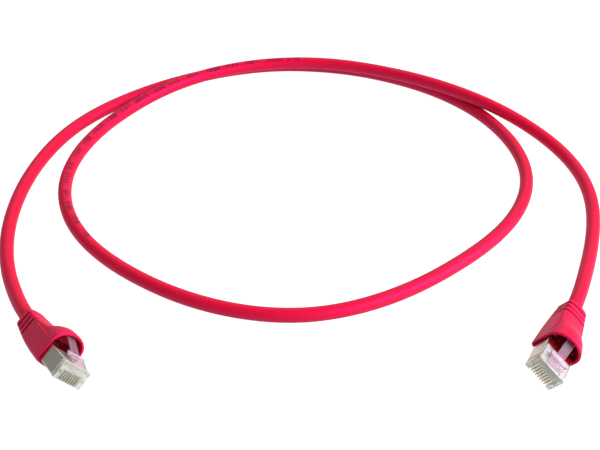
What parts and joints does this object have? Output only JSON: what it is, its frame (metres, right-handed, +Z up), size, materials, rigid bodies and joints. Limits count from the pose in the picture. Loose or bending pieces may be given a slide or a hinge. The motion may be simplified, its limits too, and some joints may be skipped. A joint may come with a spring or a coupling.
{
  "type": "ethernet patch cable",
  "caption": "Shielded network patch cable lying in a loose loop, with a modular plug, a springy latch and a moulded hooded boot on each end.",
  "frame": {"origin": "on the floor under the middle of the two plugs", "axes": "+X from the left plug to the right plug, +Y towards the loop of cable, +Z up"},
  "size_m": [0.2299, 0.2211, 0.0164],
  "materials": {
    "red_jacket": "smooth satin",
    "red_boot": "smooth satin",
    "clear_plastic": "polished, clear",
    "plated_steel": "nickel plated",
    "gold": "gold plated",
    "tinned_braid": "tinned braid",
    "wire_white_orange": "smooth",
    "wire_orange": "smooth",
    "wire_white_green": "smooth",
    "wire_blue": "smooth",
    "wire_white_blue": "smooth",
    "wire_green": "smooth",
    "wire_white_brown": "smooth",
    "wire_brown": "smooth"
  },
  "bodies": {
    "lead": {"left_plug_body": "clear_plastic", "left_shield": "plated_steel", "left_wire_guide": "clear_plastic", "left_contact_1": "gold", "left_contact_2": "gold", "left_contact_3": "gold", "left_contact_4": "gold", "left_contact_5": "gold", "left_contact_6": "gold", "left_contact_7": "gold", "left_contact_8": "gold", "left_wire_1": "wire_white_orange", "left_wire_2": "wire_orange", "left_wire_3": "wire_white_green", "left_wire_4": "wire_blue", "left_wire_5": "wire_white_blue", "left_wire_6": "wire_green", "left_wire_7": "wire_white_brown", "left_wire_8": "wire_brown", "left_screen": "tinned_braid", "left_boot": "red_boot", "right_plug_body": "clear_plastic", "right_shield": "plated_steel", "right_wire_guide": "clear_plastic", "right_contact_1": "gold", "right_contact_2": "gold", "right_contact_3": "gold", "right_contact_4": "gold", "right_contact_5": "gold", "right_contact_6": "gold", "right_contact_7": "gold", "right_contact_8": "gold", "right_wire_1": "wire_white_orange", "right_wire_2": "wire_orange", "right_wire_3": "wire_white_green", "right_wire_4": "wire_blue", "right_wire_5": "wire_white_blue", "right_wire_6": "wire_green", "right_wire_7": "wire_white_brown", "right_wire_8": "wire_brown", "right_screen": "tinned_braid", "right_boot": "red_boot", "cable": "red_jacket"},
    "left_latch": {"left_latch": "clear_plastic"},
    "right_latch": {"right_latch": "clear_plastic"}
  },
  "joints": [
    {"name": "left_latch_press", "type": "hinge", "parent": "lead", "child": "left_latch", "pos_m": [-0.0713, -0.01374, 0.01056], "axis": [-0.5589, -0.2944, 0.7753], "range_deg": [0, 11], "stiffness_Nm_per_rad": 0.05},
    {"name": "right_latch_press", "type": "hinge", "parent": "lead", "child": "right_latch", "pos_m": [0.07926, -0.01452, 0.01025], "axis": [-0.6766, 0.3347, 0.6559], "range_deg": [0, 11], "stiffness_Nm_per_rad": 0.05}
  ]
}
